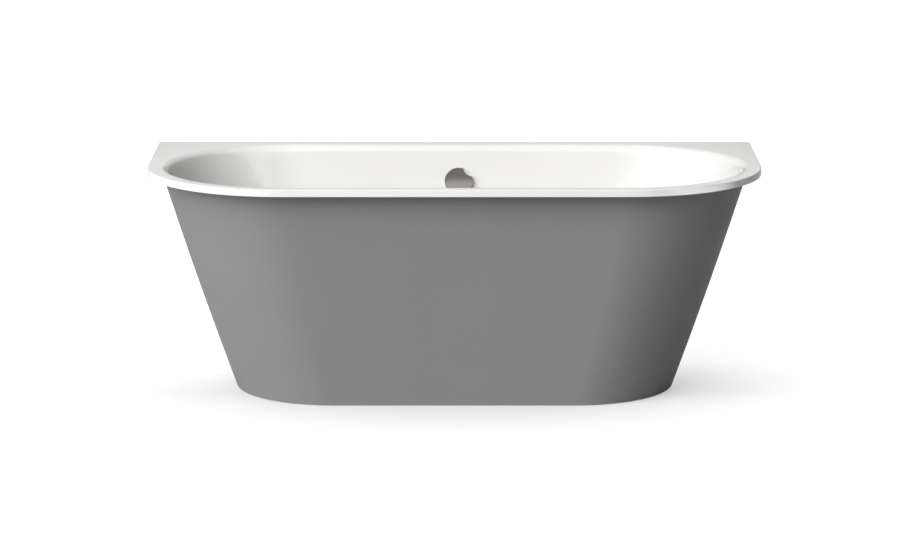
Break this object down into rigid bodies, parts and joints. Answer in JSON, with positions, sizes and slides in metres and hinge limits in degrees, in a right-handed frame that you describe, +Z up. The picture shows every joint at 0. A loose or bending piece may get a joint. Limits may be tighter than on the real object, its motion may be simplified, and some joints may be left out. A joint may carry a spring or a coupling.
{
  "type": "back-to-wall bathtub",
  "caption": "Long oval-basin bathtub with a flat rim, rounded front corners, tapered grey apron, central overflow knob that lifts the plug, levelling feet and a trapped waste.",
  "frame": {"origin": "on the floor under the middle of the rim's outline", "axes": "+X along the tub to the right as seen from the room, +Y towards the wall, +Z up"},
  "size_m": [1.65, 0.75, 0.6],
  "materials": {
    "white_enamel": "gloss vitreous enamel on pressed steel",
    "grey_apron": "satin grey paint on sheet steel",
    "chrome": "satin chrome",
    "zinc_steel": "zinc plated",
    "waste_plastic": "moulded polypropylene",
    "foot_plastic": "moulded nylon",
    "rubber": "matt",
    "bitumen": "matt bitumen mat"
  },
  "bodies": {
    "bath": {"bath_shell": "white_enamel", "apron_panel": "grey_apron", "drain_body": "waste_plastic", "trap_bend": "waste_plastic", "trap_inlet_nut": "waste_plastic", "trap_cleanout_cap": "waste_plastic", "outlet_pipe": "waste_plastic", "outlet_nut": "waste_plastic", "overflow_elbow": "waste_plastic", "overflow_pipe": "waste_plastic", "overflow_pipe_nut_top": "waste_plastic", "overflow_pipe_nut_bottom": "waste_plastic", "overflow_retainer": "waste_plastic", "cable_clips": "waste_plastic", "bowden_sheath": "waste_plastic", "rail_pad_left": "rubber", "rail_pad_right": "rubber", "wall_anchor_pads": "rubber", "drain_top_gasket": "rubber", "drain_bottom_gasket": "rubber", "trap_inlet_seal": "rubber", "trap_cleanout_seal": "rubber", "outlet_seal": "rubber", "overflow_gasket": "rubber", "overflow_pipe_seal_top": "rubber", "overflow_pipe_seal_bottom": "rubber", "apron_seal": "rubber", "rail_left": "zinc_steel", "rail_right": "zinc_steel", "foot_nuts": "zinc_steel", "apron_stay_left": "zinc_steel", "apron_stay_right": "zinc_steel", "apron_stay_bolts": "zinc_steel", "apron_stay_nuts": "zinc_steel", "apron_studs": "zinc_steel", "wall_anchor_left": "zinc_steel", "wall_anchor_right": "zinc_steel", "lever_pin": "zinc_steel", "overflow_screws": "zinc_steel", "bowden_wire": "zinc_steel", "drain_flange": "chrome", "sound_mats_front": "bitumen", "sound_mats_back": "bitumen"},
    "knob": {"overflow_knob": "chrome", "knob_spindle": "zinc_steel", "cable_crank": "waste_plastic"},
    "plug": {"plug_cap": "chrome", "plug_stem": "zinc_steel", "plug_seal": "rubber"},
    "lever": {"lift_lever": "waste_plastic"},
    "foot_front_left": {"foot_spindle_front_left": "zinc_steel", "foot_pad_front_left": "foot_plastic"},
    "foot_back_left": {"foot_spindle_back_left": "zinc_steel", "foot_pad_back_left": "foot_plastic"},
    "foot_front_right": {"foot_spindle_front_right": "zinc_steel", "foot_pad_front_right": "foot_plastic"},
    "foot_back_right": {"foot_spindle_back_right": "zinc_steel", "foot_pad_back_right": "foot_plastic"}
  },
  "joints": [
    {"name": "knob_turn", "type": "hinge", "parent": "bath", "child": "knob", "pos_m": [0.011, 0.29907, 0.501], "axis": [0, -0.9674, 0.2534], "range_deg": [0, 90]},
    {"name": "plug_lift", "type": "slide", "parent": "bath", "child": "plug", "axis": [0, 0, 1], "range_m": [0, 0.012]},
    {"name": "lever_swing", "type": "hinge", "parent": "bath", "child": "lever", "pos_m": [0.03054, 0, 0.134], "axis": [0, 1, 0], "range_deg": [0, 34.92]},
    {"name": "foot_front_left_height", "type": "slide", "parent": "bath", "child": "foot_front_left", "axis": [0, 0, 1], "range_m": [-0.025, 0.01]},
    {"name": "foot_back_left_height", "type": "slide", "parent": "bath", "child": "foot_back_left", "axis": [0, 0, 1], "range_m": [-0.025, 0.01]},
    {"name": "foot_front_right_height", "type": "slide", "parent": "bath", "child": "foot_front_right", "axis": [0, 0, 1], "range_m": [-0.025, 0.01]},
    {"name": "foot_back_right_height", "type": "slide", "parent": "bath", "child": "foot_back_right", "axis": [0, 0, 1], "range_m": [-0.025, 0.01]}
  ],
  "couplings": [
    {"joint": "plug_lift", "follows": "knob_turn", "m_per_rad": 0.0076393},
    {"joint": "lever_swing", "follows": "knob_turn", "ratio": 0.38795}
  ]
}
